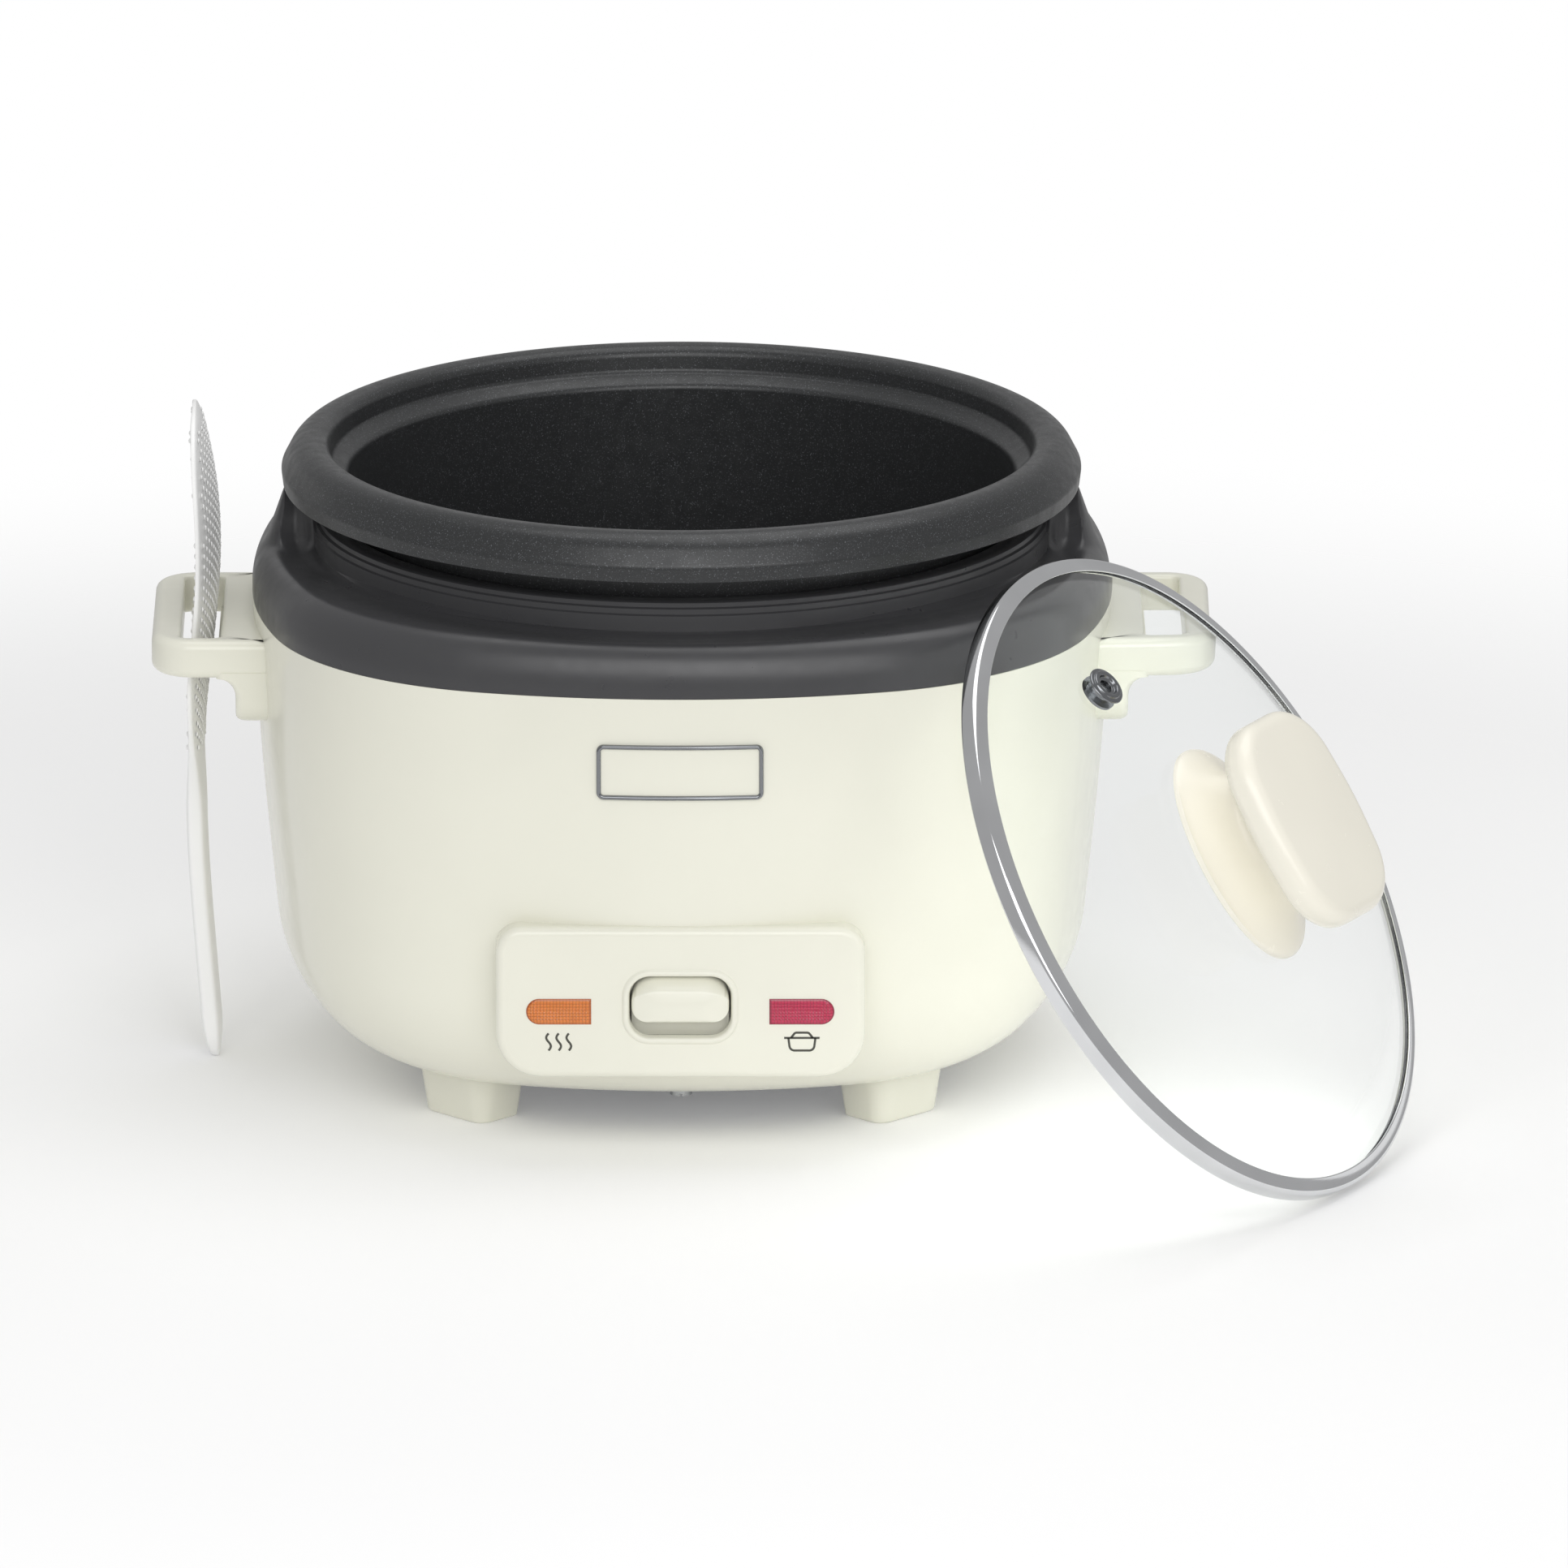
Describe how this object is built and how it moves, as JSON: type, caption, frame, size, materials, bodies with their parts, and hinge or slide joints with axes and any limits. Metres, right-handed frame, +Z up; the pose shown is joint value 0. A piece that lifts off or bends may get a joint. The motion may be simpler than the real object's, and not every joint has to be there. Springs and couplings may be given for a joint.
{
  "type": "rice cooker",
  "caption": "Electric rice cooker: rounded square body on feet, dark collar, lift-out non-stick pot, glass lid propped against a side handle, paddle held in the other handle's slot.",
  "frame": {"origin": "on the worktop under the centre of the cooker's body, where its axis meets the soles of its feet", "axes": "+Z up out of the worktop along the pot's axis, -Y towards the front with the control panel, +X to the side where the lid leans"},
  "size_m": [0.3917, 0.3619, 0.2103],
  "materials": {
    "cream_plastic": "gloss",
    "charcoal_plastic": "satin",
    "nonstick": "satin speckled",
    "polished_steel": "polished",
    "steel": "brushed",
    "sheet_metal": "mill",
    "cast_aluminium": "machined",
    "glass": "clear",
    "amber": "gloss",
    "crimson": "gloss",
    "lamp_glass": "clear",
    "white_plastic": "satin",
    "silicone": "matte",
    "ferrite": "matte",
    "ceramic": "matte",
    "brass": "satin",
    "dark_plastic": "matte",
    "insulation": "matte"
  },
  "bodies": {
    "base": {"outer_shell": "cream_plastic", "base_cover": "sheet_metal", "collar": "charcoal_plastic", "inner_liner": "sheet_metal", "handle_right": "cream_plastic", "handle_left": "cream_plastic", "handle_screws": "steel", "foot_screws": "steel", "base_screws": "steel", "control_panel": "cream_plastic", "warm_lens": "amber", "cook_lens": "crimson", "warm_lamp": "lamp_glass", "cook_lamp": "lamp_glass", "badge_plate": "polished_steel", "heating_plate": "cast_aluminium", "heating_tube": "steel", "tube_bushings": "ceramic", "heater_posts": "steel", "heater_screws": "steel", "thermostat_sleeve": "cast_aluminium", "float_spring": "steel", "magnet_spring": "steel", "switch_bracket": "sheet_metal", "pivot_pin": "steel", "microswitch_body": "dark_plastic", "keep_warm_heater": "insulation", "thermal_fuse": "steel", "power_inlet": "dark_plastic", "inlet_pins": "brass", "terminal_block": "ceramic", "inner_wires": "insulation", "foot_back_right": "cream_plastic", "foot_back_left": "cream_plastic", "foot_front_left": "cream_plastic", "foot_front_right": "cream_plastic"},
    "pot": {"inner_pot": "nonstick"},
    "lid": {"lid_glass": "glass", "lid_band": "polished_steel", "steam_vent": "polished_steel", "lid_handle": "cream_plastic", "lid_washer": "silicone", "lid_screw": "steel"},
    "paddle": {"rice_paddle": "white_plastic"},
    "lever": {"switch_lever": "sheet_metal", "switch_knob": "cream_plastic"},
    "magnet": {"magnet": "ferrite", "magnet_rod": "steel"},
    "plunger": {"microswitch_plunger": "white_plastic"},
    "sensor": {"sensor_cap": "cast_aluminium", "ferrite": "ferrite"}
  },
  "joints": [
    {"name": "pot_lift", "type": "slide", "parent": "base", "child": "pot", "axis": [0, 0, 1], "range_m": [0, 0.2]},
    {"name": "lid_lift", "type": "slide", "parent": "base", "child": "lid", "axis": [0, 0, 1], "range_m": [0, 0.25]},
    {"name": "paddle_lift", "type": "slide", "parent": "base", "child": "paddle", "axis": [0, 0, 1], "range_m": [0, 0.22]},
    {"name": "switch_press", "type": "hinge", "parent": "base", "child": "lever", "pos_m": [0, -0.068, 0.0329], "axis": [1, 0, 0], "range_deg": [0, 4], "stiffness_Nm_per_rad": 0.8, "springref_deg": -3.44},
    {"name": "magnet_rise", "type": "slide", "parent": "base", "child": "magnet", "axis": [0, 0, 1], "range_m": [0, 0.00476], "deforming": ["magnet_spring"]},
    {"name": "plunger_rise", "type": "slide", "parent": "base", "child": "plunger", "axis": [0, 0, 1], "range_m": [0, 0.0012]},
    {"name": "sensor_press", "type": "slide", "parent": "base", "child": "sensor", "axis": [0, 0, 1], "range_m": [-0.0025, 0], "stiffness_N_per_m": 300, "springref_m": 0.004, "deforming": ["float_spring"]}
  ],
  "couplings": [
    {"joint": "magnet_rise", "follows": "switch_press", "m_per_rad": 0.068111},
    {"joint": "plunger_rise", "follows": "switch_press", "m_per_rad": 0.017188}
  ]
}
